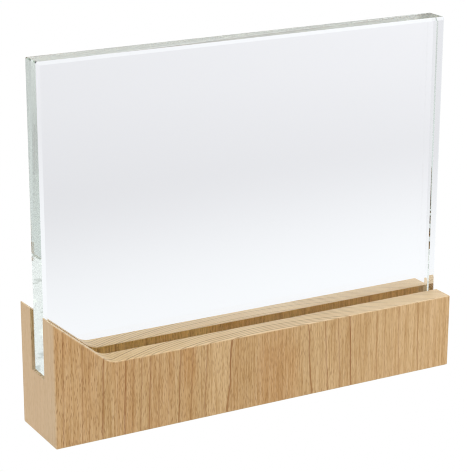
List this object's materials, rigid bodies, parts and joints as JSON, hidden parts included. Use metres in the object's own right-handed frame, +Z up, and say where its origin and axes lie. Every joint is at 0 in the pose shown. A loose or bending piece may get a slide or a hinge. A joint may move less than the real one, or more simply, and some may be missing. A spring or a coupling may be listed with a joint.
{
  "type": "crystal award",
  "caption": "Free-standing award: a clear chamfered crystal plate held upright in the lengthwise slot of a beech base that rises to a sloped tip at one end.",
  "frame": {"origin": "on the ground, under the middle of the award", "axes": "+X along the base away from its raised end, +Y from front to back, +Z up"},
  "size_m": [0.232, 0.04, 0.1905],
  "materials": {
    "beech": "sanded beech with a thin matt oil",
    "crystal": "clear, all faces and chamfers polished",
    "felt": "pressed wool felt"
  },
  "bodies": {
    "base": {"wooden_base": "beech", "felt_pad_front_left": "felt", "felt_pad_front_right": "felt", "felt_pad_back_left": "felt", "felt_pad_back_right": "felt"},
    "plate": {"crystal_plate": "crystal"}
  },
  "joints": [
    {"name": "plate_lift", "type": "slide", "parent": "base", "child": "plate", "axis": [0, 0, 1], "range_m": [0, 0.06]}
  ]
}
